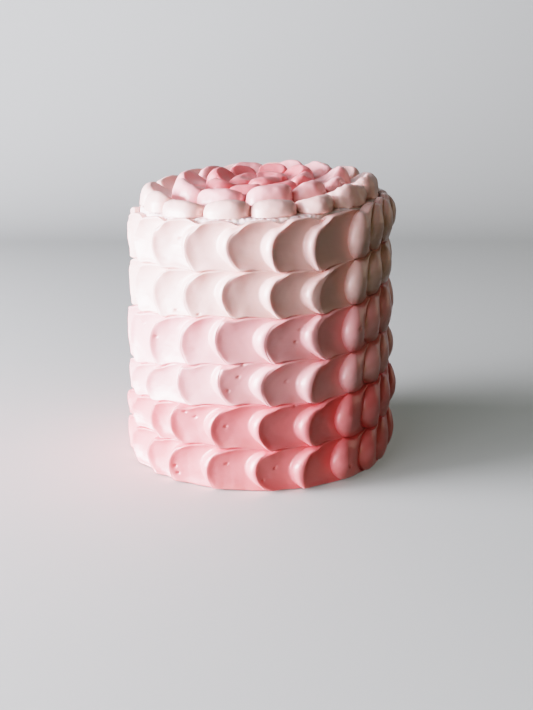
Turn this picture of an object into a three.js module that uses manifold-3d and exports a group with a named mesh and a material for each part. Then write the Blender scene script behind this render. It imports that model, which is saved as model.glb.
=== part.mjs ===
// A small round smash cake iced all over with smeared buttercream petals, in millimetres.
// +Z is up, the front is -Y, and the cake stands on z = 0 with its box centred on the origin.
// Each petal is one piped dollop that a spatula tip has pressed and dragged: a round bulge with
// a C-shaped crest on one side and a smooth hollow running out from the crest. Six rows of
// petals go round the side, dragged to the right, and four rings cover the top, dragged inwards.
import * as THREE from "three";
import { mergeVertices } from "three/addons/utils/BufferGeometryUtils.js";
import Module from "manifold-3d";

const wasm = await Module();
wasm.setup();

// Cake and its thin base coat
const CAKE_RADIUS = 51;
const CAKE_SIDES = 72;
const RIM_ROUNDING = 1.6;
const TOP_HEIGHT = 111.3;
const TOP_RISE_RIGHT = 0.045;
const TOP_RISE_BACK = 0.045;

// Clearance between neighbouring solids and inside the rows, and how far the plain crests stand
// out for their lumps
const GAP = 0.3;
const LUMP_ROOM = 0.35;
const INNER_GAP = 0.35;

// Side petals: a row's own count, crest and bulge
const PETALS_PER_ROW = 21;
const CREST_HEIGHT = 3.4;
const CREST_ARC = 9.8;
const CREST_REACH = 0.975;
const CREST_LEAN = 0.1;
const BULGE_WIDTH = 4.6;
const BULGE_END_WIDTH = 1;
const BULGE_TAPER = 0.8;
const BULGE_POWER = 1.7;
const ROUNDER_BULGES = { 4: 2.2, 5: 3 };
const BULGE_SHOULDER = 0.4;
const END_HEIGHT_SHARE = 0.2;
const END_ROUNDING = 1.2;
const WALL_RUN = 0.9;

// Hollow of a smeared petal, over the row's floor: where it starts and ends, and its depth between
const HOLLOW_START = 2.7;
const HOLLOW_END = -1;
const HOLLOW_DEPTH = 1.2;
const HOLLOW_MIDDLE = 0.5;

// The columns of dollops that were piped last and never smeared, and how much higher they stand
const WHOLE_PETALS = { 6: 2, 7: 1.2, 8: 0.6, 9: 0.4, 10: 0.4 };
const WHOLE_WIDTH_SHARE = 1.45;
const WHOLE_UNDERCUT = THREE.MathUtils.degToRad(38);
const WHOLE_SHOULDER = THREE.MathUtils.degToRad(30);
const WHOLE_STRIP_SHARE = 0.08;
const WHOLE_ARC_SHARE = 0.5;
const WHOLE_END_POWER = 0.7;
const WHOLE_END_ROUNDING = 3;
const WHOLE_FOOT = -1.9;
const DOME_POWER = 1.6;
const DOME_STATIONS = [0.45, 0.85];

// Rows from the top down: radius of the crests, colour, and the petals that show from the front,
// with the angle of the crest, how far its middle leans down and the share of the usual width
const ROWS = [
  {
    crestRadius: 57,
    colour: "pale",
    crests: [
      [-66, 0.1, 1], [-48, 0.1, 0.9], [-30.5, 0.1, 1], [-12.5, 0, 1.15], [5, 0.2, 0.95],
      [22, 0.15, 0.75], [45.4, 0.35, 0.87], [59.5, 0.35, 1.25], [71, 0.2, 1.3],
    ],
  },
  {
    crestRadius: 57,
    colour: "pale",
    crests: [
      [-66, 0.1, 1], [-48.5, 0.15, 0.9], [-31.5, 0.15, 1], [-14.5, 0.05, 1], [4.2, 0.05, 0.9],
      [24, 0.2, 0.9], [43.9, 0.25, 0.87], [58, 0.3, 1.25], [70, 0.2, 1.3],
    ],
  },
  {
    crestRadius: 58,
    colour: "blush",
    crests: [
      [-70, 0.1, 1], [-49.8, 0.15, 0.9], [-33, 0.15, 1], [-17.2, -0.1, 1], [2, 0.1, 1.05],
      [22.8, -0.1, 1], [41.9, 0.15, 0.87], [55.5, 0.2, 1.2], [68.5, 0.1, 1.3],
    ],
  },
  {
    crestRadius: 58.5,
    colour: "blush",
    crests: [
      [-70, 0.1, 1], [-53.3, 0.2, 0.9], [-34.2, -0.3, 1], [-16.3, -0.3, 1], [0.7, 0.1, 1.15],
      [20.5, 0.4, 1.2], [40.4, 0.15, 0.87], [54.5, 0.2, 1.2], [67.5, 0.1, 1.3],
    ],
  },
  {
    crestRadius: 59.5,
    colour: "rose",
    crests: [
      [-68, 0.1, 1], [-49.8, -0.2, 0.9], [-37.2, -0.15, 1], [-18.8, 0.15, 1.15], [-0.3, 0, 0.95],
      [19.2, 0.15, 1.15], [38, 0.15, 0.95], [53.5, 0.2, 1.2], [67, 0.1, 1.3],
    ],
  },
  {
    crestRadius: 59.5,
    colour: "rose",
    crests: [
      [-69, 0, 1], [-52.7, 0.05, 0.9], [-38.6, 0.3, 1], [-20.8, 0.15, 1.15], [-1.5, -0.05, 1],
      [17, 0.25, 1.1], [36, 0.05, 0.95], [52, 0.1, 1.15], [65.5, 0, 1.3],
    ],
  },
];

// The seven lines that bound the rows, from the top down: height at the front, and how much
// each line is higher at the far right, at the far left and at the back
const ROW_LINES = [
  { front: 108.4, right: 5.5, left: -1.5, back: 1.5 },
  { front: 89.2, right: 7, left: -1.5, back: 2.5 },
  { front: 71.4, right: 7, left: -4.6, back: 1 },
  { front: 53.4, right: 4, left: -10, back: 0 },
  { front: 36.3, right: 4, left: -6.5, back: 0 },
  { front: 18.4, right: 2, left: -0.7, back: 0 },
  { front: 0.45, right: 0, left: 0, back: 0 },
];
const LINE_RIGHT_POWER = 4;
const TOP_LINE_RIGHT_POWER = 2;
const LINE_LEFT_POWER = 2;
const LINE_WOBBLE = 0.3;
const LINE_WAVES = 7;
const LINE_SHIFT = 2.1;

// Top rings from the outside in: petals, radius of the crests, height over the cake's top of the
// bulge's foot, of the crest and of the hollow's floor, how much higher the back petals are, how
// much of the hollow's fall is a wall under the crest, the petals that show, with the angle of the
// left end and the share of the height of each, the angle where the last ends, and colour
const TOP_RINGS = [
  {
    name: "top_ring_outer",
    petals: 15,
    crestRadius: 46.3,
    foot: 0.5,
    crest: 6.2,
    floor: 2,
    backRise: 3,
    wallShare: 0.6,
    seen: [
      [-104, 1.05], [-79, 0.98], [-54, 0.88], [-28.5, 1.07], [-4.5, 0.97], [19, 1], [38.4, 1.28],
      [65, 1.3],
    ],
    last: 86,
    colour: "pale",
  },
  {
    name: "top_ring_second",
    petals: 11,
    crestRadius: 33.5,
    foot: 2,
    crest: 10.3,
    floor: 4.6,
    backRise: 1.2,
    wallShare: 0.6,
    seen: [[-93, 0.97], [-48, 0.86], [-10, 0.98], [24, 0.95], [53, 0.78]],
    last: 80,
    colour: "blush",
  },
  {
    name: "top_ring_third",
    petals: 8,
    crestRadius: 19.5,
    foot: 4.6,
    crest: 12,
    floor: 6.4,
    backRise: 0,
    wallShare: 0.9,
    seen: [[-90, 0.82], [-40, 0.72], [5, 0.7], [50, 0.9]],
    last: 98,
    colour: "rose",
  },
  {
    name: "top_centre",
    petals: 3,
    crestRadius: 8,
    foot: 6.4,
    crest: 9.8,
    floor: 7.6,
    backRise: 0,
    wallShare: 0.6,
    seen: [[-40, 1]],
    last: 80,
    colour: "rose",
  },
];
const TOP_BULGE_WIDTH = 5;
const TOP_BULGE_END_WIDTH = 1.2;
const TOP_SHOULDER = 0.7;
const TOP_SHOULDER_RISE = 0.76;
const TOP_SCALLOP = 4.2;
const TOP_END_POWER = 2.9;
const TOP_END_ROUNDING = 0.5;
const WHOLE_TOP_PETALS = [5, 6, 7];
const WHOLE_TOP_SCALLOP = 7;
const WHOLE_TOP_END_POWER = 2.1;
const TOP_END_HEIGHT_SHARE = 0.3;
const TOP_WALL_RUN = 4;
const TOP_WALL_POWER = 1.5;
const TOP_SLOPE_POWER = 1.3;
const TOP_HOLLOW_STATIONS = [0.25, 0.6, 1];
const TOP_TILT = 0.12;
const TOP_UNEVEN_HEIGHT = 0.03;
const TOP_UNEVEN_RADIUS = 0.8;
const PLUG_RADIUS = 2.4;
const PLUG_SIDES = 12;

// Unevenness of the hand-piped petals either way, as shares, as millimetres or, for the spacing,
// in degrees, and the three steps and the scale of the wave that it comes from
const UNEVEN_HEIGHT = 0.12;
const UNEVEN_WIDTH = 0.12;
const UNEVEN_RADIUS = 0.4;
const UNEVEN_SPACING = 1.2;
const ROW_WAVE = 12.9898;
const PETAL_WAVE = 78.233;
const TRAIT_WAVE = 37.719;
const WAVE_SCALE = 43758.5453;

// How finely each petal is divided
const ROW_STEPS = [-1, -0.68, -0.25, 0.25, 0.68, 1];
const RING_STEPS = [-1, -0.8, -0.3, 0.3, 0.8];
const INNER_STATIONS = [0, 3, 4];

const ICINGS = {
  pale: new THREE.MeshStandardMaterial({ color: 0xf6e9e6, roughness: 0.5, metalness: 0 }),
  blush: new THREE.MeshStandardMaterial({ color: 0xf3cdd1, roughness: 0.5, metalness: 0 }),
  rose: new THREE.MeshStandardMaterial({ color: 0xe99aa2, roughness: 0.5, metalness: 0 }),
  coat: new THREE.MeshStandardMaterial({ color: 0xf0e6df, roughness: 0.6, metalness: 0 }),
};

const MERGE_DISTANCE = 1e-4;

const radians = THREE.MathUtils.degToRad;
const FULL_TURN = 360;

// A repeatable uneven value between -1 and 1 for one trait of one petal
function uneven(row, petal, trait) {
  const wave = Math.sin(row * ROW_WAVE + petal * PETAL_WAVE + trait * TRAIT_WAVE) * WAVE_SCALE;
  return 2 * (wave - Math.floor(wave)) - 1;
}

// A point at a radius, an angle from the front and a height
function pointAt(radius, degrees, height) {
  const angle = radians(degrees);
  return [radius * Math.sin(angle), -radius * Math.cos(angle), height];
}

// Height of the cake's gently sloping top
function topHeight(x, y) {
  return TOP_HEIGHT + TOP_RISE_RIGHT * x + TOP_RISE_BACK * y;
}

// Crest angles of a whole row: those that show, and the rest spread evenly round the back
function crestAngles(row) {
  const seen = ROWS[row].crests.map(([angle]) => angle);
  const hidden = PETALS_PER_ROW - seen.length;
  const last = seen[seen.length - 1];
  const pitch = (FULL_TURN + seen[0] - last) / (hidden + 1);
  const angles = [...seen];
  for (let i = 1; i <= hidden; i++) {
    angles.push(last + i * pitch + UNEVEN_SPACING * uneven(row, i, 0));
  }
  return angles;
}

// Height of one of the lines between rows, at an angle from the front
function lineHeight(index, degrees) {
  const { front, right, left, back } = ROW_LINES[index];
  const angle = radians(degrees);
  const towards = Math.sin(angle);
  const power = index === 0 ? TOP_LINE_RIGHT_POWER : LINE_RIGHT_POWER;
  const side = towards > 0 ? right * towards ** power : left * towards ** LINE_LEFT_POWER;
  const behind = (1 - Math.cos(angle)) / 2;
  const wobble = LINE_WOBBLE * Math.sin(LINE_WAVES * angle + LINE_SHIFT * index);
  const bottom = index === ROW_LINES.length - 1;
  return front + side + back * behind ** 2 + (bottom ? 0 : wobble);
}

// Closed mesh from a list of points and a list of triangles
function meshOf(points, triangles) {
  const geometry = new THREE.BufferGeometry();
  geometry.setAttribute("position", new THREE.Float32BufferAttribute(points.flat(), 3));
  geometry.setIndex(triangles.flat());
  return geometry;
}

function solidOf(geometry) {
  const bare = new THREE.BufferGeometry();
  bare.setAttribute("position", geometry.getAttribute("position"));
  bare.setIndex(geometry.index);
  const merged = mergeVertices(bare, MERGE_DISTANCE);
  return new wasm.Manifold(
    new wasm.Mesh({
      numProp: 3,
      vertProperties: merged.attributes.position.array,
      triVerts: new Uint32Array(merged.index.array),
    }),
  );
}

function geometryOf(solid) {
  const mesh = solid.getMesh();
  const geometry = new THREE.BufferGeometry();
  geometry.setAttribute("position", new THREE.BufferAttribute(new Float32Array(mesh.vertProperties), 3));
  geometry.setIndex(new THREE.BufferAttribute(new Uint32Array(mesh.triVerts), 1));
  return geometry;
}

// How far the C-shaped crest has curved to the right at a share of the half height
function crestCurve(share, row, petal) {
  const seen = ROWS[row].crests;
  const lean = petal < seen.length ? seen[petal][1] : CREST_LEAN * (1 + uneven(row, petal, 4));
  const reach = (CREST_REACH * (share + lean)) / (1 + Math.abs(lean));
  const arc = petal in WHOLE_PETALS ? CREST_ARC * WHOLE_ARC_SHARE : CREST_ARC;
  return arc * (1 - Math.sqrt(1 - reach ** 2));
}

// How wide a petal's bulge is, as a share of the usual width
function bulgeShare(row, petal) {
  const seen = ROWS[row].crests;
  const width = petal < seen.length ? seen[petal][2] : 1 + UNEVEN_WIDTH * uneven(row, petal, 1);
  return petal in WHOLE_PETALS ? WHOLE_WIDTH_SHARE * width : width;
}

// How far a bulge's foot lies over the row's floor
function footLevel(petal) {
  return petal - 1 in WHOLE_PETALS ? WHOLE_FOOT : HOLLOW_END;
}

// Share of the height of a round dome that is left at a share of the way down from its crest
function domeRise(way) {
  return Math.sqrt(1 - way ** DOME_POWER);
}

// How far in from its widest, as a share of its width, a whole dollop is where its flank has
// turned by an angle, and what share of its height it has there
function wholeFlank(turn) {
  const inset = (1 - WHOLE_STRIP_SHARE) * (1 - Math.cos(turn));
  const rise = (Math.sin(turn) + Math.sin(WHOLE_UNDERCUT)) / (1 + Math.sin(WHOLE_UNDERCUT));
  return { inset, rise };
}

// Height of a smeared petal's hollow over its floor at a share of the way to the next bulge's foot
function hollowLevel(way, end) {
  return HOLLOW_START * (1 - way) ** 2 + end * way ** 2 - HOLLOW_DEPTH * 2 * way * (1 - way);
}

// The stations across a side petal at a share of its half height: how far right of the crest's
// middle each one lies, and how far out
function rowStations(row, petal, share, pitch) {
  const following = (petal + 1) % PETALS_PER_ROW;
  const whole = petal in WHOLE_PETALS;
  const bulge = BULGE_END_WIDTH + (BULGE_WIDTH - BULGE_END_WIDTH) * (1 - share ** 2) ** BULGE_TAPER;
  const width = bulge * bulgeShare(row, petal);
  const crest = crestCurve(share, row, petal);
  const inset = following in WHOLE_PETALS ? wholeFlank(WHOLE_UNDERCUT).inset : 0;
  const footAhead = bulge * bulgeShare(row, following) * (1 - inset);
  const run = pitch + crestCurve(share, row, following) - footAhead - crest;

  const edge = ((1 - Math.abs(share)) * (ROW_LINES[row].front - ROW_LINES[row + 1].front)) / 2;
  const endLength = whole ? WHOLE_END_ROUNDING : END_ROUNDING;
  const rounding = Math.sqrt(1 - (1 - Math.min(edge / endLength, 1)) ** 2);
  const round = whole
    ? (1 - share ** 2) ** WHOLE_END_POWER
    : END_HEIGHT_SHARE + (1 - END_HEIGHT_SHARE) * Math.sqrt(1 - share ** 2);
  const high = CREST_HEIGHT * (1 + UNEVEN_HEIGHT * uneven(row, petal, 2)) + (WHOLE_PETALS[petal] ?? 0);
  const top = high * round + UNEVEN_RADIUS * uneven(row, petal, 3) + LUMP_ROOM;
  const foot = footLevel(petal);
  const end = footLevel(following);

  const power = ROUNDER_BULGES[petal] ?? BULGE_POWER;
  const start = whole ? wholeFlank(-WHOLE_UNDERCUT) : { inset: 0, rise: 0 };
  const shoulder = whole
    ? wholeFlank(WHOLE_SHOULDER)
    : { inset: BULGE_SHOULDER, rise: 1 - (1 - BULGE_SHOULDER) ** power };
  const stations = [start, shoulder, { inset: 1, rise: 1 }].map(({ inset: inwards, rise }) => ({
    along: crest - width * (1 - inwards),
    level: foot + (top - foot) * rise,
  }));
  const ways = whole ? DOME_STATIONS : [WALL_RUN / run, HOLLOW_MIDDLE];
  for (const way of ways) {
    const level = whole ? end + (top - end) * domeRise(way) : hollowLevel(way, end);
    stations.push({ along: crest + run * way, level });
  }
  const floor = ROWS[row].crestRadius - CREST_HEIGHT;
  return stations.map(({ along, level }) => ({ along, radius: floor + level * rounding }));
}

// One row of petals as a closed ring round the cake
function petalRow(row) {
  const angles = crestAngles(row);
  const outer = [];
  const innerOf = [];
  const inner = [];
  angles.forEach((angle, petal) => {
    const following = petal + 1 < angles.length ? angles[petal + 1] : angles[0] + FULL_TURN;
    const degreesPerMm = 1 / radians(ROWS[row].crestRadius);
    const pitch = (following - angle) / degreesPerMm;
    const columns = ROW_STEPS.map((share) => rowStations(row, petal, share, pitch));
    columns[0].forEach((_, station) => {
      const points = ROW_STEPS.map((share, step) => {
        const { along, radius } = columns[step][station];
        const degrees = angle + along * degreesPerMm;
        const low = lineHeight(row + 1, degrees) + GAP / 2;
        const high = lineHeight(row, degrees) - GAP / 2;
        return { radius, degrees, height: low + ((high - low) * (share + 1)) / 2 };
      });
      if (INNER_STATIONS.includes(station)) {
        inner.push((points[0].degrees + points[points.length - 1].degrees) / 2);
      }
      innerOf.push(inner.length - 1);
      outer.push(points);
    });
  });
  return closedRow(row, outer, inner, innerOf);
}

// Joins the outer grid of a row to its plain inner wall
function closedRow(row, outer, inner, innerOf) {
  const steps = ROW_STEPS.length;
  const points = outer.flatMap((column) => column.map((p) => pointAt(p.radius, p.degrees, p.height)));
  const innerStart = points.length;
  for (const degrees of inner) {
    points.push(pointAt(CAKE_RADIUS + INNER_GAP, degrees, lineHeight(row + 1, degrees) + GAP / 2));
    points.push(pointAt(CAKE_RADIUS + INNER_GAP, degrees, lineHeight(row, degrees) - GAP / 2));
  }
  const triangles = [];
  const quad = (a, b, c, d) => triangles.push([a, b, c], [a, c, d]);
  outer.forEach((_, column) => {
    const next = (column + 1) % outer.length;
    const here = column * steps;
    const there = next * steps;
    for (let step = 0; step + 1 < steps; step++) {
      quad(here + step, there + step, there + step + 1, here + step + 1);
    }
    const low = innerStart + 2 * innerOf[column];
    triangles.push([low, there, here], [low + 1, here + steps - 1, there + steps - 1]);
    if (innerOf[next] !== innerOf[column]) {
      const nextLow = innerStart + 2 * innerOf[next];
      triangles.push([low, nextLow, there], [low + 1, there + steps - 1, nextLow + 1]);
      quad(nextLow, low, low + 1, nextLow + 1);
    }
  });
  return meshOf(points, triangles);
}

// What share of a top petal's size is left at a share of its half length
function endRounding(share, power) {
  return (1 - Math.abs(share) ** power) ** TOP_END_ROUNDING;
}

// Angles between a ring's petals, from the first petal's left end round to its start again
function ringCreases(ring) {
  const { petals, seen, last } = TOP_RINGS[ring];
  const hidden = petals - seen.length;
  const pitch = (FULL_TURN + seen[0][0] - last) / hidden;
  const creases = seen.map(([angle]) => angle);
  for (let i = 0; i <= hidden; i++) {
    creases.push(last + i * pitch);
  }
  return creases;
}

// Radius and height of the stations across a top petal, from its foot in to the hollow's end
function ringStations(ring, petal, share, middle, innerRadius) {
  const shape = TOP_RINGS[ring];
  const row = ROWS.length + ring;
  const whole = ring === 0 && WHOLE_TOP_PETALS.includes(petal);
  const size = endRounding(share, whole ? WHOLE_TOP_END_POWER : TOP_END_POWER);
  const scallop = whole ? WHOLE_TOP_SCALLOP : TOP_SCALLOP;
  const behind = (1 - Math.cos(radians(middle))) / 2;
  const heightShare = petal < shape.seen.length ? shape.seen[petal][1] : 1;
  const tilt = 1 + TOP_TILT * uneven(row, petal, 5) * share;
  const unevenHeight = 1 + TOP_UNEVEN_HEIGHT * uneven(row, petal, 2);
  const full = heightShare * (shape.crest + shape.backRise * behind) * unevenHeight * tilt;
  const unevenRadius = TOP_UNEVEN_RADIUS * uneven(row, petal, 3) * size;
  const crest = shape.crestRadius - scallop * (1 - size) + unevenRadius;
  const width = TOP_BULGE_END_WIDTH + (TOP_BULGE_WIDTH - TOP_BULGE_END_WIDTH) * size;
  const rise = TOP_END_HEIGHT_SHARE + (1 - TOP_END_HEIGHT_SHARE) * size;
  const high = shape.foot + (full - shape.foot) * rise + LUMP_ROOM;
  const footRadius = Math.min(crest + width, CAKE_RADIUS);
  const floor = Math.min(shape.floor, high);
  const hollow = TOP_HOLLOW_STATIONS.map((way) => {
    const run = (crest - innerRadius) * way;
    const wall = Math.exp(-((run / TOP_WALL_RUN) ** TOP_WALL_POWER));
    const fall = shape.wallShare * wall + (1 - shape.wallShare) * (1 - way) ** TOP_SLOPE_POWER;
    return { radius: crest - run, height: floor + (high - floor) * fall };
  });
  return [
    { radius: footRadius, height: GAP },
    { radius: footRadius, height: Math.max(shape.foot, 2 * GAP) },
    { radius: crest + width * TOP_SHOULDER, height: shape.foot + (high - shape.foot) * TOP_SHOULDER_RISE },
    { radius: crest, height: high },
    ...hollow,
    { radius: innerRadius, height: GAP },
  ];
}

// Angles and columns of stations round one ring of the top
function ringColumns(ring, innerRadius) {
  const creases = ringCreases(ring);
  const columns = [];
  for (let petal = 0; petal + 1 < creases.length; petal++) {
    const middle = (creases[petal] + creases[petal + 1]) / 2;
    const half = (creases[petal + 1] - creases[petal]) / 2;
    for (const share of RING_STEPS) {
      const stations = ringStations(ring, petal, share, middle, innerRadius);
      columns.push({ degrees: middle + share * half, stations });
    }
  }
  return columns;
}

// A ring of top petals as a closed band lying on the cake's top
function topRing(ring) {
  const within = TOP_RINGS[ring + 1];
  const innerRadius = within ? within.crestRadius - TOP_SCALLOP - TOP_UNEVEN_RADIUS : PLUG_RADIUS;
  const columns = ringColumns(ring, innerRadius);
  const points = [];
  for (const { degrees, stations } of columns) {
    for (const { radius, height } of stations) {
      const [x, y] = pointAt(radius, degrees, 0);
      points.push([x, y, topHeight(x, y) + height]);
    }
  }
  const across = columns[0].stations.length;
  const triangles = [];
  columns.forEach((_, column) => {
    const here = column * across;
    const there = ((column + 1) % columns.length) * across;
    for (let station = 0; station < across; station++) {
      const next = (station + 1) % across;
      triangles.push([here + station, there + station, there + next]);
      triangles.push([here + station, there + next, here + next]);
    }
  });
  return meshOf(points, triangles);
}

// A closed prism whose outline is the foot of a ring, a gap larger, to cut the ring outside it
function footCutter(ring) {
  const outline = ringColumns(ring, 0).map(({ degrees, stations }) => {
    const [x, y] = pointAt(stations[0].radius + GAP, degrees, 0);
    return new THREE.Vector2(x, y);
  });
  const prism = { depth: 2 * CAKE_RADIUS, bevelEnabled: false };
  const cutter = new THREE.ExtrudeGeometry(new THREE.Shape(outline), prism);
  cutter.translate(0, 0, TOP_HEIGHT - CAKE_RADIUS);
  return cutter;
}

// A small plug that fills the middle of the innermost ring
function centrePlug(ring) {
  const { floor } = TOP_RINGS[ring];
  const radius = PLUG_RADIUS + GAP;
  const plug = new THREE.CylinderGeometry(radius, radius, floor - 2 * GAP, PLUG_SIDES);
  plug.rotateX(Math.PI / 2);
  plug.translate(0, 0, TOP_HEIGHT + GAP + floor / 2);
  return plug;
}

function topRingSolid(ring) {
  const band = solidOf(topRing(ring));
  if (ring + 1 < TOP_RINGS.length) {
    return geometryOf(band.subtract(solidOf(footCutter(ring + 1))));
  }
  return geometryOf(band.add(solidOf(centrePlug(ring))));
}

// The cake under its base coat: a plain round cake with a softened rim and a sloping top
function cakeSolid() {
  const profile = [
    new THREE.Vector2(0, 0),
    new THREE.Vector2(CAKE_RADIUS, 0),
    new THREE.Vector2(CAKE_RADIUS, TOP_HEIGHT - RIM_ROUNDING),
    new THREE.Vector2(CAKE_RADIUS - RIM_ROUNDING, TOP_HEIGHT),
    new THREE.Vector2(0, TOP_HEIGHT),
  ];
  const cake = new THREE.LatheGeometry(profile, CAKE_SIDES);
  cake.rotateX(Math.PI / 2);
  const position = cake.getAttribute("position");
  for (let i = 0; i < position.count; i++) {
    const height = position.getZ(i);
    if (height > TOP_HEIGHT / 2) {
      position.setZ(i, height + topHeight(position.getX(i), position.getY(i)) - TOP_HEIGHT);
    }
  }
  return geometryOf(solidOf(cake));
}

function named(geometry, name, icing) {
  const mesh = new THREE.Mesh(geometry, ICINGS[icing]);
  mesh.name = name;
  return mesh;
}

const smashCake = new THREE.Group();
smashCake.add(named(cakeSolid(), "cake_core", "coat"));
ROWS.forEach((row, index) => {
  smashCake.add(named(petalRow(index), `side_row_${index + 1}`, row.colour));
});
TOP_RINGS.forEach((ring, index) => {
  smashCake.add(named(topRingSolid(index), ring.name, ring.colour));
});

// The box of the whole is centred on the origin
const middle = new THREE.Box3().setFromObject(smashCake).getCenter(new THREE.Vector3());
smashCake.position.set(-middle.x, -middle.y, 0);

export default smashCake;
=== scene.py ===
# A small round smash cake iced all over with smeared buttercream petals, on a plain pale floor.
# Sizes are in millimetres and angles in degrees round the cake's axis, with 0 at the front and
# + to the right, until the last step of each mesh, which turns them into metres in the frame.
# Each petal is one piped dollop that a spatula tip has pressed and dragged: a round bulge with a
# C-shaped crest on one side and a smooth hollow that runs out from the crest.
import math
from typing import NamedTuple

import bpy
import numpy as np
from mathutils import Matrix, Vector


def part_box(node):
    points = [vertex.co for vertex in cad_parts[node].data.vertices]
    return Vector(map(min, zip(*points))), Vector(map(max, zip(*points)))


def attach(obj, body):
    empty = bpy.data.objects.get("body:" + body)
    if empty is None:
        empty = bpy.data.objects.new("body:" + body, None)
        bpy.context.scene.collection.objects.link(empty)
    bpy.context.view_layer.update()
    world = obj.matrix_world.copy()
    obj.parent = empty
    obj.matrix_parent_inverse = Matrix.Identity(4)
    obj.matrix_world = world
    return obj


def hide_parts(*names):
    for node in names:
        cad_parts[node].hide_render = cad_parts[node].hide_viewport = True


METRE = 0.001
FULL_TURN = 360.0
QUARTER_TURN = math.pi / 2

# Cake and its base coat, which is crumbly down and in from its rim to the rim's depth, with crumbs
# as far across and as deep as these
CAKE_RADIUS = 51.0
RIM_ROUNDING = 1.6
RIM_DEPTH = 7.0
RIM_CRUMBS = [(2.2, 0.25), (0.9, 0.16)]
CRUMB_SEED = 7
TOP_HEIGHT = 111.3
TOP_RISE_RIGHT = 0.045
TOP_RISE_BACK = 0.045
AXIS_HOLE = 0.3

# Side petals: a row's own count, crest and bulge, and the steeper fall behind the crest
PETALS_PER_ROW = 21
CREST_HEIGHT = 3.4
CREST_ARC = 9.8
CREST_REACH = 0.975
CREST_LEAN = 0.1
BULGE_WIDTH = 4.6
BULGE_END_WIDTH = 1.0
BULGE_TAPER = 0.8
BULGE_POWER = 1.7
ROUNDER_BULGES = {4: 2.2, 5: 3.0}
END_HEIGHT_SHARE = 0.2
END_ROUNDING = 1.2
WALL_RUN = 0.8
WALL_POWER = 1.3

# Nearly flat strip along a crest: its share of the bulge's width and its fall, and the petals, as
# row and petal from 0, whose strip the spatula left wider
BULGE_STRIP_SHARE = 0.08
BULGE_STRIP_DROP = 0.04
WIDER_STRIPS = {(1, 5): 0.4, (2, 5): 0.25}

# Hollow of a smeared petal, over the row's floor: where it starts and ends, and its depth between
HOLLOW_START = 2.7
HOLLOW_END = -1.0
HOLLOW_DEPTH = 1.2

# Crease along a row's edges, and the thin arms of icing that the spatula leaves beside it
CREASE_DEPTH = 0.3
CREASE_WIDTH = 0.3
ARM_HEIGHT = 0.6
ARM_END_HEIGHT = 0.2
ARM_EDGE = 0.8
ARM_FADE_POWER = 4
ROW_GAP = 0.06
INNER_CLEARANCE = 0.3

# The columns of dollops that were piped last and never smeared, and how much higher they stand
WHOLE_PETALS = {6: 2.0, 7: 1.2, 8: 0.6, 9: 0.4, 10: 0.4}
WHOLE_WIDTH_SHARE = 1.45
WHOLE_FOOT = -1.9
WHOLE_UNDERCUT = math.radians(38)
WHOLE_ARC_SHARE = 0.5
WHOLE_END_POWER = 0.7
WHOLE_END_ROUNDING = 3.0
DOME_POWER = 1.6


class Row(NamedTuple):
    """A row of side petals. Each crest that shows from the front has an angle, how far its middle
    leans down and the share of the usual width of its bulge."""

    crest_radius: float
    icing: str
    crests: list


# Rows from the top down
ROWS = [
    Row(57.0, "icing_pale", [
        (-66, 0.1, 1), (-48, 0.1, 0.9), (-30.5, 0.1, 1), (-12.5, 0, 1.15), (5, 0.2, 0.95),
        (22, 0.15, 0.75), (45.4, 0.35, 0.87), (59.5, 0.35, 1.25), (71, 0.2, 1.3),
    ]),
    Row(57.0, "icing_pale", [
        (-66, 0.1, 1), (-48.5, 0.15, 0.9), (-31.5, 0.15, 1), (-14.5, 0.05, 1), (4.2, 0.05, 0.9),
        (24, 0.2, 0.9), (43.9, 0.25, 0.87), (58, 0.3, 1.25), (70, 0.2, 1.3),
    ]),
    Row(58.0, "icing_blush", [
        (-70, 0.1, 1), (-49.8, 0.15, 0.9), (-33, 0.15, 1), (-17.2, -0.1, 1), (2, 0.1, 1.05),
        (22.8, -0.1, 1), (41.9, 0.15, 0.87), (55.5, 0.2, 1.2), (68.5, 0.1, 1.3),
    ]),
    Row(58.5, "icing_blush", [
        (-70, 0.1, 1), (-53.3, 0.2, 0.9), (-34.2, -0.3, 1), (-16.3, -0.3, 1), (0.7, 0.1, 1.15),
        (20.5, 0.4, 1.2), (40.4, 0.15, 0.87), (54.5, 0.2, 1.2), (67.5, 0.1, 1.3),
    ]),
    Row(59.5, "icing_rose", [
        (-68, 0.1, 1), (-49.8, -0.2, 0.9), (-37.2, -0.15, 1), (-18.8, 0.15, 1.15), (-0.3, 0, 0.95),
        (19.2, 0.15, 1.15), (38, 0.15, 0.95), (53.5, 0.2, 1.2), (67, 0.1, 1.3),
    ]),
    Row(59.5, "icing_rose", [
        (-69, 0, 1), (-52.7, 0.05, 0.9), (-38.6, 0.3, 1), (-20.8, 0.15, 1.15), (-1.5, -0.05, 1),
        (17, 0.25, 1.1), (36, 0.05, 0.95), (52, 0.1, 1.15), (65.5, 0, 1.3),
    ]),
]


class Line(NamedTuple):
    """A line that bounds the rows: its height at the front, and how much higher it is at the far
    right, at the far left and at the back."""

    front: float
    right: float
    left: float
    back: float


# The seven lines, from the top down
ROW_LINES = [
    Line(108.4, 5.5, -1.5, 1.5),
    Line(89.2, 7.0, -1.5, 2.5),
    Line(71.4, 7.0, -4.6, 1.0),
    Line(53.4, 4.0, -10.0, 0.0),
    Line(36.3, 4.0, -6.5, 0.0),
    Line(18.4, 2.0, -0.7, 0.0),
    Line(0.45, 0.0, 0.0, 0.0),
]

# How late the lines start to climb to the right and to sag to the left, and their small waves
LINE_RIGHT_POWER = 4
TOP_LINE_RIGHT_POWER = 2
LINE_LEFT_POWER = 2
LINE_WOBBLE = 0.3
LINE_WAVES = 7
LINE_SHIFT = 2.1

# Where a bulge's lower end pushes the line under it down
CUSP_DEPTH = 0.9
TOP_CUSP_DEPTH = 1.6
CUSP_OFFSET = 4.0
CUSP_HALF_WIDTH = 3.2


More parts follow.
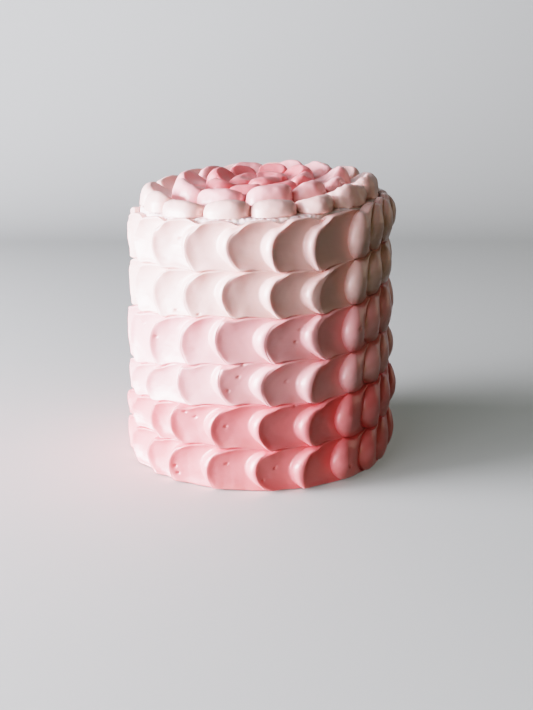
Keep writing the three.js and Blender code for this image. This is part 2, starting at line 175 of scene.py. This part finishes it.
class Ring(NamedTuple):
    """A ring of top petals: radius of the crests, height over the cake's top of the bulge's foot,
    of the crest and of the hollow's floor, how much higher the back petals are, and how much of
    the hollow's fall is a wall under the crest. Each petal that shows has the angle of its left
    end and a share of the height, and the last of these petals ends at the angle called last."""

    name: str
    icing: str
    petals: int
    crest_radius: float
    foot: float
    crest: float
    floor: float
    back_rise: float
    wall_share: float
    seen: list
    last: float


# Top rings from the outside in
TOP_RINGS = [
    Ring(
        "top_ring_outer", "icing_pale", petals=15, crest_radius=46.3, foot=0.5, crest=6.2,
        floor=2.0, back_rise=3.0, wall_share=0.6, last=86,
        seen=[
            (-104, 1.05), (-79, 0.98), (-54, 0.88), (-28.5, 1.07), (-4.5, 0.97), (19, 1),
            (38.4, 1.28), (65, 1.3),
        ],
    ),
    Ring(
        "top_ring_second", "icing_blush", petals=11, crest_radius=33.5, foot=2.0, crest=10.3,
        floor=4.6, back_rise=1.2, wall_share=0.6, last=80,
        seen=[(-93, 0.97), (-48, 0.86), (-10, 0.98), (24, 0.95), (53, 0.78)],
    ),
    Ring(
        "top_ring_third", "icing_rose", petals=8, crest_radius=19.5, foot=4.6, crest=12.0,
        floor=6.4, back_rise=0.0, wall_share=0.9, last=98,
        seen=[(-90, 0.82), (-40, 0.72), (5, 0.7), (50, 0.9)],
    ),
    Ring(
        "top_centre", "icing_rose", petals=3, crest_radius=8.0, foot=6.4, crest=9.8,
        floor=7.6, back_rise=0.0, wall_share=0.6, last=80, seen=[(-40, 1)],
    ),
]

# A top petal's bulge, its ends, the fall behind its crest and its unevenness
TOP_BULGE_WIDTH = 5.0
TOP_BULGE_END_WIDTH = 1.2
TOP_BULGE_POWER = 2.2
TOP_SCALLOP = 4.2
TOP_END_POWER = 2.9
TOP_END_ROUNDING = 0.5
TOP_END_HEIGHT_SHARE = 0.3
TOP_WALL_RUN = 4.0
TOP_WALL_POWER = 1.5
TOP_SLOPE_POWER = 1.3
TOP_UNEVEN_HEIGHT = 0.03
TOP_UNEVEN_RADIUS = 0.8
TOP_TILT = 0.12

# Petals of the outer ring that were never smeared either
WHOLE_TOP_PETALS = [5, 6, 7]
WHOLE_TOP_SCALLOP = 7.0
WHOLE_TOP_END_POWER = 2.1

# Unevenness of the hand-piped side petals either way, as shares, as millimetres or, for the
# spacing, in degrees
UNEVEN_HEIGHT = 0.12
UNEVEN_WIDTH = 0.12
UNEVEN_RADIUS = 0.4
UNEVEN_SPACING = 1.2

# Traits that are uneven, and the steps and the scale of the wave that the unevenness comes from
SPACING, WIDTH, HEIGHT, RADIUS, LEAN, TILT = range(6)
ROW_WAVE = 12.9898
PETAL_WAVE = 78.233
TRAIT_WAVE = 37.719
WAVE_SCALE = 43758.5453

# Lumps over the side and top petals: how far across and how deep. They are deeper round the
# angle where the top petals are torn. They are a sum of waves, whose lengths lie between these
# shares of the lumps' size.
SIDE_LUMPS = [(4.0, 0.07), (1.5, 0.025)]
TOP_LUMPS = [(6.0, 0.2), (1.8, 0.06)]
TORN_ANGLE = 58.0
TORN_SPREAD = 22.0
TORN_SHARE = 3.0
LUMP_WAVES = 9
LUMP_WAVE_SHARES = (1.4, 2.8)
SEEDS_PER_RING = 10

# Burst air bubbles in the side petals: angle and height of each, and their size
PITS = [
    (-36, 100), (-39, 71.5), (-26, 71.5), (-61, 63), (-48, 60), (-50, 51.5), (-7, 52.5),
    (-9, 47.5), (-13, 42), (-28, 29.5), (-32, 31.5), (-14, 27.5), (-19, 20), (-37, 7.5),
    (-36, 4.5), (-14, 11.5), (6, 10), (1, 5.5), (17, 66), (15, 61), (11, 45.5), (14, 35.5),
    (42, 64.5), (37, 8),
]
PIT_DEPTH = 1.3
PIT_RADIUS = 0.42

# How finely each petal and the cake are divided, and how much closer the stations are by a crest
ROW_STEPS = 61
FLANK_STEPS = 12
STRIP_STEPS = 4
HOLLOW_STEPS = 26
RING_STEPS = 52
STATION_CROWDING = 1.5
CAKE_COLUMNS = 720
RIM_WALL_STEPS = 12
RIM_TURN_STEPS = 9
RIM_TOP_STEPS = 10
SHARP_ANGLE = math.radians(80)

# Icings: colour and roughness, and the fine grain and level spatula streaks that all have, each
# as scale, how much finer it is upwards, strength and depth in metres
ICINGS = {
    "icing_pale": ((0.9, 0.585, 0.545), 0.35),
    "icing_blush": ((0.97, 0.455, 0.46), 0.35),
    "icing_rose": ((0.97, 0.28, 0.285), 0.35),
    "base_coat": ((0.92, 0.75, 0.74), 0.6),
}
ICING_GLOSS = 0.85
ICING_SCATTER = 0.3
ICING_SCATTER_DEPTH = 0.0015
ICING_SCATTER_SHARES = (1.0, 0.6, 0.5)
ICING_GRAINS = [(900, 1, 0.15, 0.0002), (130, 5, 0.35, 0.0003)]

# The studio, in metres: a floor that bends up into a backdrop, and a warm card under the floor
SWEEP_FRONT = -1.5
SWEEP_BACK = 1.1
SWEEP_HEIGHT = 1.6
SWEEP_BEND = 0.5
SWEEP_BEND_STEPS = 16
SWEEP_HALF_WIDTH = 2.5
SWEEP_COLOUR = (0.49, 0.532, 0.52)
SWEEP_GLOW = 0.2
CARD_RADIUS = 0.076
CARD_SIDES = 64
CARD_HEIGHT = -0.0004
CARD_COLOUR = (0.3, 0.19, 0.14)
PLAIN_ROUGHNESS = 0.9

# Lamps, in metres: how far they are from the point on the axis that they look at, their size and
# that point's height
LAMP_DISTANCE = 1.1
LAMP_SIZE = 0.5
LAMP_TARGET_HEIGHT = 0.07

# Window light: angle round the axis, angle above the floor and watts of each lamp
WINDOW = [
    (-85, 5, 14.0), (-75, 5, 25.0), (-65, 5, 8.5), (-55, 5, 5.0), (-45, 5, 2.4),
    (-80, 35, 4.5), (-30, 35, 2.4),
]
WINDOW_COLOUR = (1.0, 0.92, 1.0)

# Light that comes back from the room: name, the same three values and colour of each lamp. The
# room's own colour is what faint light comes from all round.
FILLS = [
    ("fill_front", 0, 15, 0.75, (0.81, 0.99, 0.55)),
    ("fill_right", 110, 15, 0.8, (1.0, 0.75, 0.6)),
]
ROOM_COLOUR = (0.006, 0.006, 0.004)

# Camera, fitted to the ellipses that level circles draw in the photo
CAMERA_DISTANCE = 422.5
CAMERA_HEIGHT = 157.3
CAMERA_SIDE = 1.8
CAMERA_PITCH = math.radians(15.31)
CAMERA_YAW = 0.0021
CAMERA_ROLL = -0.0010
CAMERA_LENS = 49.82
SENSOR = 36.0


def uneven(row, petal, trait):
    """A repeatable uneven value between -1 and 1 for one trait of one petal."""
    wave = math.sin(row * ROW_WAVE + petal * PETAL_WAVE + trait * TRAIT_WAVE) * WAVE_SCALE
    return 2 * (wave - math.floor(wave)) - 1


def lumps(points, size, seed):
    """Smooth repeatable lumps between about -1 and 1 over points, each about a size across."""
    random = np.random.default_rng(seed)
    total = np.zeros(points.shape[:-1])
    for _ in range(LUMP_WAVES):
        direction = random.normal(size=3)
        direction /= np.linalg.norm(direction)
        length = size * random.uniform(*LUMP_WAVE_SHARES)
        total += np.sin(points @ direction * (2 * np.pi / length) + random.uniform(0, 2 * np.pi))
    return total / math.sqrt(LUMP_WAVES)


def point_at(radii, degrees, heights):
    """Points at radii, angles from the front and heights."""
    angles = np.radians(degrees)
    x, y = radii * np.sin(angles), -radii * np.cos(angles)
    return np.stack(np.broadcast_arrays(x, y, heights), -1)


def top_height(x, y):
    """Height of the cake's gently sloping top."""
    return TOP_HEIGHT + TOP_RISE_RIGHT * x + TOP_RISE_BACK * y


def line_height(index, degrees):
    """Height of one of the lines that bound the rows, at angles from the front."""
    line = ROW_LINES[index]
    angles = np.radians(degrees)
    towards = np.sin(angles)
    right_power = TOP_LINE_RIGHT_POWER if index == 0 else LINE_RIGHT_POWER
    right_side = line.right * np.abs(towards) ** right_power
    left_side = line.left * towards**LINE_LEFT_POWER
    behind = (1 - np.cos(angles)) / 2
    smooth = line.front + np.where(towards > 0, right_side, left_side) + line.back * behind**2
    if index == len(ROW_LINES) - 1:
        return smooth
    cusps = 0 * smooth
    for crest in crest_angles(max(index - 1, 0)):
        apart = (degrees - crest - CUSP_OFFSET + FULL_TURN / 2) % FULL_TURN - FULL_TURN / 2
        cusps += np.exp(-((apart / CUSP_HALF_WIDTH) ** 2))
    depth = TOP_CUSP_DEPTH if index == 0 else CUSP_DEPTH
    wobble = LINE_WOBBLE * np.sin(LINE_WAVES * angles + LINE_SHIFT * index)
    return smooth + wobble - depth * cusps


def crest_angles(row):
    """Crest angles of a whole row: those that show, and the rest spread evenly round the back."""
    seen = [angle for angle, _, _ in ROWS[row].crests]
    hidden = PETALS_PER_ROW - len(seen)
    pitch = (FULL_TURN + seen[0] - seen[-1]) / (hidden + 1)
    rest = [
        seen[-1] + i * pitch + UNEVEN_SPACING * uneven(row, i, SPACING)
        for i in range(1, hidden + 1)
    ]
    return seen + rest


def crest_shape(row, petal):
    """How far a crest's middle leans down, and the share of the usual width of its bulge."""
    seen = ROWS[row].crests
    if petal < len(seen):
        _, lean, width = seen[petal]
        return lean, width
    lean = CREST_LEAN * (1 + uneven(row, petal, LEAN))
    width = 1 + UNEVEN_WIDTH * uneven(row, petal, WIDTH)
    return lean, width


def crest_curve(row, petal, shares):
    """How far the C-shaped crest has curved to the right at shares of the half height."""
    lean, _ = crest_shape(row, petal)
    arc = CREST_ARC * (WHOLE_ARC_SHARE if petal in WHOLE_PETALS else 1)
    return arc * (1 - np.sqrt(1 - (CREST_REACH * (shares + lean) / (1 + abs(lean))) ** 2))


def crest_height(row, petal, shares):
    """How far the crest stands over the row's floor at shares of the half height."""
    high = CREST_HEIGHT * (1 + UNEVEN_HEIGHT * uneven(row, petal, HEIGHT))
    high += WHOLE_PETALS.get(petal, 0)
    if petal in WHOLE_PETALS:
        taper = (1 - shares**2) ** WHOLE_END_POWER
    else:
        taper = END_HEIGHT_SHARE + (1 - END_HEIGHT_SHARE) * np.sqrt(1 - shares**2)
    return high * taper + UNEVEN_RADIUS * uneven(row, petal, RADIUS)


def strip_share(row, petal):
    """What share of a bulge's width is the strip along its crest."""
    return WIDER_STRIPS.get((row, petal), BULGE_STRIP_SHARE)


def bulge_width(row, petal, shares):
    """How wide a bulge is at shares of the half height. A wider strip makes the whole narrower."""
    taper = (1 - shares**2) ** BULGE_TAPER
    usual = BULGE_END_WIDTH + (BULGE_WIDTH - BULGE_END_WIDTH) * taper
    _, width = crest_shape(row, petal)
    whole = WHOLE_WIDTH_SHARE if petal in WHOLE_PETALS else 1
    return usual * whole * width * (1 - BULGE_STRIP_SHARE) / (1 - strip_share(row, petal))


def flank_profile(row, petal):
    """Shares of the width and of the height across a bulge, from its foot to its crest."""
    share = np.linspace(0, 1, FLANK_STEPS, endpoint=False)
    strip = np.linspace(0, 1, STRIP_STEPS, endpoint=False)
    flat = strip_share(row, petal)
    if petal in WHOLE_PETALS:
        turn = -WHOLE_UNDERCUT + (QUARTER_TURN + WHOLE_UNDERCUT) * share
        across = 1 - np.cos(turn)
        rise = (np.sin(turn) + math.sin(WHOLE_UNDERCUT)) / (1 + math.sin(WHOLE_UNDERCUT))
    else:
        across = share
        rise = 1 - (1 - share) ** ROUNDER_BULGES.get(petal, BULGE_POWER)
    across = np.concatenate([(1 - flat) * across, 1 - flat * (1 - strip)])
    rise = np.concatenate([rise, 1 - BULGE_STRIP_DROP * strip**2])
    return across[:, None], rise[:, None]


def foot_level(petal):
    """How far a bulge's foot lies over the row's floor."""
    return WHOLE_FOOT if petal - 1 in WHOLE_PETALS else HOLLOW_END


def foot_width(row, petal, shares):
    """How far a bulge's foot lies to the left of its crest: less where its flank is undercut."""
    inset = (1 - BULGE_STRIP_SHARE) * (1 - math.cos(WHOLE_UNDERCUT))
    return bulge_width(row, petal, shares) * (1 - inset if petal in WHOLE_PETALS else 1)


def row_edges(row, petal, shares):
    """How much of its level a petal keeps near the row's edges, and its arms and its creases."""
    edge = (1 - np.abs(shares)) * (ROW_LINES[row].front - ROW_LINES[row + 1].front) / 2
    length = WHOLE_END_ROUNDING if petal in WHOLE_PETALS else END_ROUNDING
    rounding = np.sqrt(1 - (1 - np.minimum(edge / length, 1)) ** 2)
    arm = (edge / ARM_EDGE * np.exp(1 - edge / ARM_EDGE)) ** 2
    crease = CREASE_DEPTH * np.exp(-((edge / CREASE_WIDTH) ** 2))
    return rounding, arm, crease


def petal_grid(row, petal, pitch, shares):
    """How far right of the crest's middle, and how far out, each station of a side petal lies."""
    following = (petal + 1) % PETALS_PER_ROW
    rounding, arm, crease = row_edges(row, petal, shares)
    floor = ROWS[row].crest_radius - CREST_HEIGHT - crease
    crest = crest_curve(row, petal, shares)
    top = crest_height(row, petal, shares) * rounding + ARM_HEIGHT * arm
    foot = foot_level(petal) * rounding

    across, rise = flank_profile(row, petal)
    flank_along = crest - bulge_width(row, petal, shares) * (1 - across)
    flank_radius = floor + foot + (top - foot) * rise

    way = (np.linspace(0, 1, HOLLOW_STEPS, endpoint=False) ** STATION_CROWDING)[:, None]
    next_foot = pitch + crest_curve(row, following, shares) - foot_width(row, following, shares)
    run = (next_foot - crest) * way
    end = foot_level(following)
    if petal in WHOLE_PETALS:
        fall = np.sqrt(1 - way**DOME_POWER)
        dish = end
    else:
        fall = np.exp(-((run / WALL_RUN) ** WALL_POWER))
        dish = HOLLOW_START * (1 - way) ** 2 + end * way**2 - HOLLOW_DEPTH * 2 * way * (1 - way)
    start = foot + (top - foot) * (1 - BULGE_STRIP_DROP)
    level = dish * rounding
    arm_level = ARM_END_HEIGHT * arm * (1 - way**ARM_FADE_POWER) * (1 - fall)
    hollow_radius = floor + level + (start - level) * fall + arm_level
    along = np.concatenate([flank_along, crest + run])
    return along, np.concatenate([flank_radius, hollow_radius])


def pit_depths(degrees, heights):
    """How deep the burst bubbles have sunk each point of the side."""
    sunk = 0 * heights
    for pit_degrees, pit_height in PITS:
        along = np.radians(degrees - pit_degrees) * CAKE_RADIUS
        apart = np.hypot(along, heights - pit_height)
        sunk += PIT_DEPTH * np.exp(-((apart / PIT_RADIUS) ** 2))
    return sunk


def row_points(row):
    """Grid of points [column, step] over the outside of a row of petals, and the inner wall's."""
    degrees_per_mm = 1 / math.radians(ROWS[row].crest_radius)
    angles = crest_angles(row)
    shares = np.sin(np.linspace(-QUARTER_TURN, QUARTER_TURN, ROW_STEPS))
    degrees, radii = [], []
    for petal, angle in enumerate(angles):
        following = angles[petal + 1] if petal + 1 < len(angles) else angles[0] + FULL_TURN
        along, radius = petal_grid(row, petal, (following - angle) / degrees_per_mm, shares)
        degrees.append(angle + along * degrees_per_mm)
        radii.append(radius)
    degrees, radii = np.concatenate(degrees), np.concatenate(radii)
    low = line_height(row + 1, degrees) + ROW_GAP / 2
    high = line_height(row, degrees) - ROW_GAP / 2
    heights = low + (high - low) * (shares + 1) / 2
    smooth = point_at(radii, degrees, heights)
    rough = sum(depth * lumps(smooth, size, row) for size, depth in SIDE_LUMPS)
    outer = point_at(radii + rough - pit_depths(degrees, heights), degrees, heights)
    ends = [0, -1]
    inner = point_at(CAKE_RADIUS + INNER_CLEARANCE, degrees[:, ends], heights[:, ends])
    return outer, inner


def ring_of_quads(columns, steps):
    """Faces of a closed tube whose points are [column, step], the steps closed on themselves."""
    column, step = np.meshgrid(np.arange(columns), np.arange(steps), indexing="ij")
    after, above = (column + 1) % columns, (step + 1) % steps
    corners = [(column, step), (after, step), (after, above), (column, above)]
    return np.stack([(c * steps + s).ravel() for c, s in corners], -1)


def mesh_object(name, points, faces):
    """A smooth-shaded closed mesh in metres, in the frame's place."""
    mesh = bpy.data.meshes.new(name)
    moved = points.reshape(-1, 3) * METRE + np.array([AXIS.x, AXIS.y, 0])
    mesh.vertices.add(len(moved))
    mesh.vertices.foreach_set("co", moved.ravel())
    mesh.loops.add(faces.size)
    mesh.loops.foreach_set("vertex_index", faces.ravel().astype(np.int32))
    mesh.polygons.add(len(faces))
    starts = np.arange(0, faces.size, faces.shape[1], dtype=np.int32)
    mesh.polygons.foreach_set("loop_start", starts)
    mesh.update(calc_edges=True)
    mesh.validate()
    mesh.shade_smooth()
    mesh.set_sharp_from_angle(angle=SHARP_ANGLE)
    made = bpy.data.objects.new(name, mesh)
    bpy.context.scene.collection.objects.link(made)
    return made


def side_row(row):
    """A row of side petals as a closed ring round the cake."""
    outer, inner = row_points(row)
    whole = np.concatenate([inner[:, :1], outer, inner[:, 1:]], axis=1)
    return mesh_object(f"icing_side_row_{row + 1}", whole, ring_of_quads(*whole.shape[:2]))


def ring_creases(ring):
    """Angles between a ring's petals, from the first petal's left end round to its start again."""
    shape = TOP_RINGS[ring]
    hidden = shape.petals - len(shape.seen)
    pitch = (FULL_TURN + shape.seen[0][0] - shape.last) / hidden
    return [angle for angle, _ in shape.seen] + [shape.last + i * pitch for i in range(hidden + 1)]


def ring_profile(ring, petal, middle, shares, inner_radius):
    """Radii and heights over the cake's top of a top petal's stations, [column, station], from
    its foot in to the hollow's end."""
    shape = TOP_RINGS[ring]
    row = len(ROWS) + ring
    whole = ring == 0 and petal in WHOLE_TOP_PETALS
    end_power = WHOLE_TOP_END_POWER if whole else TOP_END_POWER
    scallop = WHOLE_TOP_SCALLOP if whole else TOP_SCALLOP
    size = (1 - np.abs(shares) ** end_power) ** TOP_END_ROUNDING

    height_share = shape.seen[petal][1] if petal < len(shape.seen) else 1
    behind = (1 - math.cos(math.radians(middle))) / 2
    tilt = 1 + TOP_TILT * uneven(row, petal, TILT) * shares
    full = height_share * (shape.crest + shape.back_rise * behind)
    full = full * (1 + TOP_UNEVEN_HEIGHT * uneven(row, petal, HEIGHT)) * tilt
    rise = TOP_END_HEIGHT_SHARE + (1 - TOP_END_HEIGHT_SHARE) * size
    high = (shape.foot + (full - shape.foot) * rise)[:, None]
    uneven_radius = TOP_UNEVEN_RADIUS * uneven(row, petal, RADIUS) * size
    crest = (shape.crest_radius - scallop * (1 - size) + uneven_radius)[:, None]
    width = (TOP_BULGE_END_WIDTH + (TOP_BULGE_WIDTH - TOP_BULGE_END_WIDTH) * size)[:, None]

    turn = np.linspace(0, QUARTER_TURN, FLANK_STEPS + STRIP_STEPS, endpoint=False)
    flank_radii = crest + width * np.cos(turn) ** (2 / TOP_BULGE_POWER)
    flank_heights = shape.foot + (high - shape.foot) * np.sin(turn) ** (2 / TOP_BULGE_POWER)

    way = np.linspace(0, 1, HOLLOW_STEPS) ** STATION_CROWDING
    run = (crest - inner_radius) * way
    wall = np.exp(-((run / TOP_WALL_RUN) ** TOP_WALL_POWER))
    fall = shape.wall_share * wall + (1 - shape.wall_share) * (1 - way) ** TOP_SLOPE_POWER
    hollow_heights = shape.floor + (high - shape.floor) * fall

    bottom = 0 * crest
    radii = np.concatenate([crest + width, flank_radii, crest - run, inner_radius + bottom], 1)
    return radii, np.concatenate([bottom, flank_heights, hollow_heights, bottom], 1)


def ring_points(ring):
    """Grid of points [column, station] round one ring of top petals."""
    inner_radius = AXIS_HOLE
    if ring + 1 < len(TOP_RINGS):
        inner_radius = TOP_RINGS[ring + 1].crest_radius - TOP_SCALLOP - TOP_UNEVEN_RADIUS
    creases = ring_creases(ring)
    shares = np.sin(np.linspace(-QUARTER_TURN, QUARTER_TURN, RING_STEPS, endpoint=False))
    degrees, radii, heights = [], [], []
    for petal, (left, right) in enumerate(zip(creases, creases[1:])):
        middle, half = (left + right) / 2, (right - left) / 2
        petal_radii, petal_heights = ring_profile(ring, petal, middle, shares, inner_radius)
        degrees.append(middle + shares * half)
        radii.append(petal_radii)
        heights.append(petal_heights)
    radii, heights = np.concatenate(radii), np.concatenate(heights)
    degrees = np.concatenate(degrees)[:, None]
    points = point_at(radii, degrees, 0.0)
    points[..., 2] = top_height(points[..., 0], points[..., 1]) + heights

    torn = 1 + TORN_SHARE * np.exp(-(((degrees - TORN_ANGLE) / TORN_SPREAD) ** 2))
    share = np.minimum(heights / TOP_RINGS[ring].foot, 1) * torn
    for axis in range(3):
        seed = SEEDS_PER_RING * (len(ROWS) + ring) + axis
        for size, depth in TOP_LUMPS:
            points[..., axis] += share * depth * lumps(points, size, seed)
    return points


def top_ring(ring):
    """A ring of top petals as a closed band on the cake's top. Its stations run up and inwards,
    so its quads are turned over to face out."""
    points = ring_points(ring)
    inside_out = ring_of_quads(*points.shape[:2])
    return mesh_object("icing_" + TOP_RINGS[ring].name, points, inside_out[:, ::-1])


def cake_core():
    """The cake under its base coat: plain below, and a softened, crumbly rim."""
    wall_bottom, wall_top = TOP_HEIGHT - RIM_DEPTH, TOP_HEIGHT - RIM_ROUNDING
    top_start, top_end = CAKE_RADIUS - RIM_ROUNDING, CAKE_RADIUS - RIM_DEPTH
    outline = [(CAKE_RADIUS, 0.0)]
    for height in np.linspace(wall_bottom, wall_top, RIM_WALL_STEPS):
        outline.append((CAKE_RADIUS, height))
    for turn in np.linspace(0, QUARTER_TURN, RIM_TURN_STEPS)[1:]:
        radius = top_start + RIM_ROUNDING * math.cos(turn)
        outline.append((radius, wall_top + RIM_ROUNDING * math.sin(turn)))
    for radius in np.linspace(top_start, top_end, RIM_TOP_STEPS)[1:]:
        outline.append((radius, TOP_HEIGHT))
    outline += [(AXIS_HOLE, TOP_HEIGHT), (AXIS_HOLE, 0.0)]
    radii, heights = np.array(outline).T
    degrees = np.linspace(0, FULL_TURN, CAKE_COLUMNS, endpoint=False)[:, None]
    points = point_at(radii, degrees, heights)
    near_rim = (heights > wall_bottom) & (radii > top_end)
    raised = points[..., 2] > TOP_HEIGHT / 2
    points[..., 2] += raised * (top_height(points[..., 0], points[..., 1]) - TOP_HEIGHT)
    crumbs = sum(depth * lumps(points, size, CRUMB_SEED) for size, depth in RIM_CRUMBS)
    rough = near_rim * np.abs(crumbs)
    outwards = points[..., :2] / np.linalg.norm(points[..., :2], axis=-1, keepdims=True)
    points[..., :2] -= outwards * rough[..., None]
    points[..., 2] -= rough
    return mesh_object("base_coat", points, ring_of_quads(*points.shape[:2]))


def icing_material(name, colour, roughness):
    """Soft icing that lets a little light in, with a fine grain and level streaks."""
    material = bpy.data.materials.new(name)
    material.use_nodes = True
    nodes, links = material.node_tree.nodes, material.node_tree.links
    shader = nodes["Principled BSDF"]
    shader.inputs["Base Color"].default_value = (*colour, 1)
    shader.inputs["Roughness"].default_value = roughness
    shader.inputs["Specular IOR Level"].default_value = ICING_GLOSS
    shader.inputs["Subsurface Weight"].default_value = ICING_SCATTER
    shader.inputs["Subsurface Scale"].default_value = ICING_SCATTER_DEPTH
    shader.inputs["Subsurface Radius"].default_value = ICING_SCATTER_SHARES
    place = nodes.new("ShaderNodeTexCoord")
    before = None
    for scale, stretch, strength, depth in ICING_GRAINS:
        squeeze = nodes.new("ShaderNodeMapping")
        squeeze.inputs["Scale"].default_value = (1, 1, stretch)
        links.new(place.outputs["Object"], squeeze.inputs["Vector"])
        grain = nodes.new("ShaderNodeTexNoise")
        grain.inputs["Scale"].default_value = scale
        links.new(squeeze.outputs["Vector"], grain.inputs["Vector"])
        bump = nodes.new("ShaderNodeBump")
        bump.inputs["Strength"].default_value = strength
        bump.inputs["Distance"].default_value = depth
        links.new(grain.outputs["Fac"], bump.inputs["Height"])
        if before:
            links.new(before.outputs["Normal"], bump.inputs["Normal"])
        before = bump
    links.new(before.outputs["Normal"], shader.inputs["Normal"])
    return material


def plain_material(name, colour, glow=0.0):
    """A matt colour that may glow a little."""
    material = bpy.data.materials.new(name)
    material.use_nodes = True
    shader = material.node_tree.nodes["Principled BSDF"]
    shader.inputs["Base Color"].default_value = (*colour, 1)
    shader.inputs["Roughness"].default_value = PLAIN_ROUGHNESS
    shader.inputs["Emission Color"].default_value = (*colour, 1)
    shader.inputs["Emission Strength"].default_value = glow
    return material


def studio_object(name, vertices, faces, material):
    """An object that is part of the studio and not of the cake."""
    mesh = bpy.data.meshes.new(name)
    mesh.from_pydata(vertices, [], faces)
    mesh.materials.append(material)
    made = bpy.data.objects.new(name, mesh)
    bpy.context.scene.collection.objects.link(made)
    return made


def studio_sweep():
    """A pale floor that curves up into a backdrop. No light comes back from it, and it lets light
    through to the card under it."""
    bend_start = SWEEP_BACK - SWEEP_BEND
    line = [(SWEEP_FRONT, 0.0), (bend_start, 0.0)]
    for turn in np.linspace(0, QUARTER_TURN, SWEEP_BEND_STEPS)[1:]:
        line.append((bend_start + SWEEP_BEND * math.sin(turn), SWEEP_BEND * (1 - math.cos(turn))))
    line.append((SWEEP_BACK, SWEEP_HEIGHT))
    vertices = [(x, y, z) for y, z in line for x in (-SWEEP_HALF_WIDTH, SWEEP_HALF_WIDTH)]
    faces = [(2 * i, 2 * i + 1, 2 * i + 3, 2 * i + 2) for i in range(len(line) - 1)]
    material = plain_material("sweep", SWEEP_COLOUR, SWEEP_GLOW)
    sweep = studio_object("studio_sweep", vertices, faces, material)
    sweep.data.shade_smooth()
    sweep.visible_diffuse = False
    sweep.visible_shadow = False


def bounce_card():
    """A warm card just under the floor that throws light back, and that the camera can't see."""
    turns = np.linspace(0, 2 * np.pi, CARD_SIDES, endpoint=False)
    rim = [
        (AXIS.x + CARD_RADIUS * math.sin(turn), AXIS.y - CARD_RADIUS * math.cos(turn), CARD_HEIGHT)
        for turn in turns
    ]
    material = plain_material("bounce", CARD_COLOUR)
    card = studio_object("bounce_card", rim, [list(range(CARD_SIDES))], material)
    card.visible_camera = False
    card.visible_shadow = False


def area_light(name, azimuth, elevation, power, colour):
    """A square lamp that looks at the cake's middle from an angle round the axis."""
    light = bpy.data.lights.new(name, "AREA")
    light.size = LAMP_SIZE
    light.energy = power
    light.color = colour
    lamp = bpy.data.objects.new(name, light)
    bpy.context.scene.collection.objects.link(lamp)
    turn, lift = math.radians(azimuth), math.radians(elevation)
    flat = math.cos(lift)
    away = Vector((math.sin(turn) * flat, -math.cos(turn) * flat, math.sin(lift)))
    lamp.location = Vector((AXIS.x, AXIS.y, LAMP_TARGET_HEIGHT)) + away * LAMP_DISTANCE
    lamp.rotation_euler = away.to_track_quat("Z", "Y").to_euler()


def lights():
    """The window, the light that comes back from the room, and the room's own faint light."""
    for number, (azimuth, elevation, power) in enumerate(WINDOW):
        area_light(f"window_{number}", azimuth, elevation, power, WINDOW_COLOUR)
    for name, azimuth, elevation, power, colour in FILLS:
        area_light(name, azimuth, elevation, power, colour)
    world = bpy.data.worlds.new("room")
    world.use_nodes = True
    world.node_tree.nodes["Background"].inputs["Color"].default_value = (*ROOM_COLOUR, 1)
    bpy.context.scene.world = world


def camera():
    """The photo's viewpoint."""
    lens = bpy.data.cameras.new("camera")
    lens.lens = CAMERA_LENS
    lens.sensor_width = SENSOR
    made = bpy.data.objects.new("camera", lens)
    bpy.context.scene.collection.objects.link(made)
    x, y = AXIS.x + CAMERA_SIDE * METRE, AXIS.y - CAMERA_DISTANCE * METRE
    place = Matrix.Translation((x, y, CAMERA_HEIGHT * METRE))
    yaw = Matrix.Rotation(-CAMERA_YAW, 4, "Z")
    pitch = Matrix.Rotation(QUARTER_TURN - CAMERA_PITCH, 4, "X")
    roll = Matrix.Rotation(CAMERA_ROLL, 4, "Z")
    made.matrix_world = place @ yaw @ pitch @ roll
    bpy.context.scene.camera = made


def finish_piece(piece, node, icing):
    """Gives a piece its icing, and puts it in the place of its plain solid."""
    piece.data.materials.append(MATERIALS[icing])
    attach(piece, "root")
    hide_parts(node)


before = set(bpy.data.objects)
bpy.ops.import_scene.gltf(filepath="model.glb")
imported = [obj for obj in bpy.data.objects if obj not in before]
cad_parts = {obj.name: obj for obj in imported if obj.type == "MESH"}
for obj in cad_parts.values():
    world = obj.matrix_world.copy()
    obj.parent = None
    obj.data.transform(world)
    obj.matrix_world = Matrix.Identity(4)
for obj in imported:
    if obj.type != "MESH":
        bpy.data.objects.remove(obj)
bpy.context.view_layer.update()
low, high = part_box("cake_core")
AXIS = (low + high) / 2
MATERIALS = {name: icing_material(name, *look) for name, look in ICINGS.items()}

for index, row in enumerate(ROWS):
    finish_piece(side_row(index), f"side_row_{index + 1}", row.icing)
for index, ring in enumerate(TOP_RINGS):
    finish_piece(top_ring(index), ring.name, ring.icing)
finish_piece(cake_core(), "cake_core", "base_coat")
studio_sweep()
bounce_card()
lights()
camera()
bpy.context.scene.view_settings.view_transform = "Filmic"
bpy.context.scene.view_settings.look = "High Contrast"
